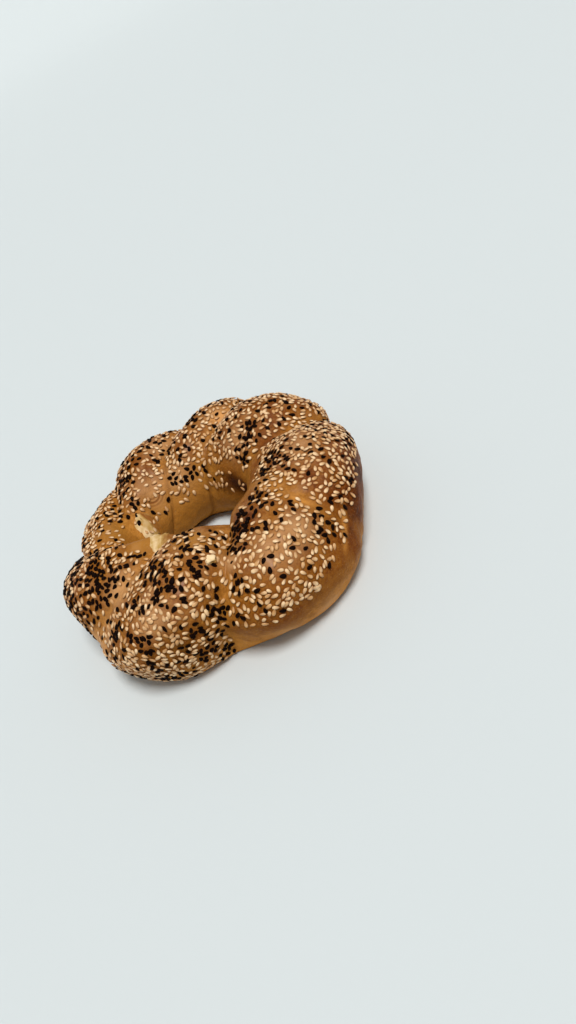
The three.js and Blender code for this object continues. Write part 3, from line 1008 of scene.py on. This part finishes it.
class KNOTROLL_OT_seeds(bpy.types.Operator):
    """Sprinkle the pale and the dark seeds together, so that they keep clear of each other"""
    bl_idname = "knotroll.seeds"
    bl_label = "Seeds"

    def execute(self, context):
        settings = context.scene.knot_roll_seeds
        seeds = scatter_seeds(settings)
        pale = [seed for seed in seeds if not seed.dark]
        dark = [seed for seed in seeds if seed.dark]
        if not pale or not dark:
            raise RuntimeError("no seeds of one kind were placed")
        mesh = build_seeds("pale_seeds", pale, settings.length, settings.width_share, settings)
        colours = settings.cream, settings.toasted, settings.tip_and_shade
        material = seed_material("pale sesame", *colours, *PALE_SEED_FINISH)
        make_mesh_object("pale_seeds", mesh, material)
        mesh = build_seeds("dark_seeds", dark, settings.dark_length, settings.dark_width_share, settings)
        colours = settings.black, settings.charcoal, settings.rust_and_shade
        material = seed_material("dark sesame", *colours, *DARK_SEED_FINISH)
        make_mesh_object("dark_seeds", mesh, material)
        print("seeds", len(pale), "pale and", len(dark), "dark")
        return {"FINISHED"}


class KNOTROLL_OT_crumb(bpy.types.Operator):
    """Make the fleck of crumb on the front lobe and the web of torn dough by the hole"""
    bl_idname = "knotroll.crumb"
    bl_label = "Torn crumb"

    def execute(self, context):
        settings = context.scene.knot_roll_crust
        material = crumb_material(settings)
        make_mesh_object("crumb_fleck", build_fleck(settings), material)
        make_mesh_object("torn_web", build_torn_web(), material)
        return {"FINISHED"}


class KNOTROLL_OT_stage(bpy.types.Operator):
    """Make the pale floor, the soft lights and the camera"""
    bl_idname = "knotroll.stage"
    bl_label = "Stage"

    def execute(self, context):
        settings = context.scene.knot_roll_stage
        make_floor(settings)
        right, up, back = camera_axes(settings)
        make_camera(settings, right, up, back)
        make_light(settings, KEY_UP * up + KEY_BACK * back - KEY_LEFT * right)
        make_world(settings)
        context.scene.view_settings.view_transform = "Standard"
        return {"FINISHED"}


def make_floor(settings):
    """A wide floor whose rim sweeps up, so that no edge shows."""
    sheet = bmesh.new()
    bmesh.ops.create_circle(sheet, cap_ends=True, segments=FLOOR_SIDES, radius=FLOOR_RADIUS)
    rim = [edge for edge in sheet.edges if edge.is_boundary]
    for step in range(1, SWEEP_STEPS + 1):
        turn = step / SWEEP_STEPS * math.pi / 2
        reach = FLOOR_RADIUS + SWEEP_RADIUS * math.sin(turn)
        height = SWEEP_RADIUS * (1.0 - math.cos(turn))
        grown = bmesh.ops.extrude_edge_only(sheet, edges=rim)["geom"]
        for vertex in (item for item in grown if isinstance(item, bmesh.types.BMVert)):
            flat = Vector((vertex.co.x, vertex.co.y, 0.0)).normalized()
            vertex.co = (flat.x * reach, flat.y * reach, height)
        rim = [item for item in grown if isinstance(item, bmesh.types.BMEdge)]
    bmesh.ops.translate(sheet, verts=sheet.verts[:], vec=(0.0, 0.0, -FLOOR_GAP))
    mesh = finished_mesh("floor", sheet)
    mesh.materials.append(floor_material(settings.floor))
    mesh.shade_smooth()
    floor = link_object("floor", mesh)


def make_camera(settings, right, up, back):
    """The camera at the photograph's viewing angle."""
    data = bpy.data.cameras.new("camera")
    data.lens = settings.lens
    data.sensor_width = SENSOR
    data.clip_start, data.clip_end = CLIP
    camera = link_object("camera", data)
    aim = Vector(RING_MIDDLE * MM) + Vector((0.0, 0.0, settings.aim_height))
    eye = aim + settings.distance * back + settings.aside * right + settings.above * up
    axes = Matrix((right, up, back)).transposed().to_4x4()
    camera.matrix_world = Matrix.Translation(eye) @ axes
    bpy.context.scene.camera = camera


def make_light(settings, direction):
    """The overhead light: wide and far, so that the floor is lit evenly."""
    data = bpy.data.lights.new("overhead", "SUN")
    data.energy = settings.key_power
    data.angle = settings.key_spread
    light = link_object("overhead", data)
    direction = direction.normalized()
    light.location = direction
    light.rotation_mode = "QUATERNION"
    light.rotation_quaternion = direction.to_track_quat("Z", "Y")


def make_world(settings):
    world = bpy.data.worlds.new("soft sky")
    world.use_nodes = True
    background = world.node_tree.nodes["Background"]
    background.inputs["Color"].default_value = (*settings.sky, 1.0)
    background.inputs["Strength"].default_value = settings.sky_strength
    bpy.context.scene.world = world


class KNOTROLL_PT_sidebar(bpy.types.Panel):
    """Sizes, colours and pieces of the roll"""
    bl_label = "Knot Roll"
    bl_space_type = "VIEW_3D"
    bl_region_type = "UI"
    bl_category = "Knot Roll"

    def draw(self, context):
        layout = self.layout
        for name in SETTINGS:
            box = layout.box()
            settings = getattr(context.scene, name)
            for key in settings.__annotations__:
                box.prop(settings, key)
        for operator in OPERATORS:
            layout.operator(operator.bl_idname)


SETTINGS = {
    "knot_roll_crust": KnotRollCrust,
    "knot_roll_seeds": KnotRollSeeds,
    "knot_roll_stage": KnotRollStage,
}
OPERATORS = (KNOTROLL_OT_crust, KNOTROLL_OT_seeds, KNOTROLL_OT_crumb, KNOTROLL_OT_stage)
CLASSES = (*SETTINGS.values(), *OPERATORS, KNOTROLL_PT_sidebar)


def register():
    for made in CLASSES:
        bpy.utils.register_class(made)
    for name, group in SETTINGS.items():
        setattr(bpy.types.Scene, name, PointerProperty(type=group))


def unregister():
    for name in SETTINGS:
        delattr(bpy.types.Scene, name)
    for made in reversed(CLASSES):
        bpy.utils.unregister_class(made)


def main():
    register()
    bpy.ops.knotroll.crust()
    bpy.ops.knotroll.seeds()
    bpy.ops.knotroll.crumb()
    bpy.ops.knotroll.stage()


if __name__ == "__main__":
    main()
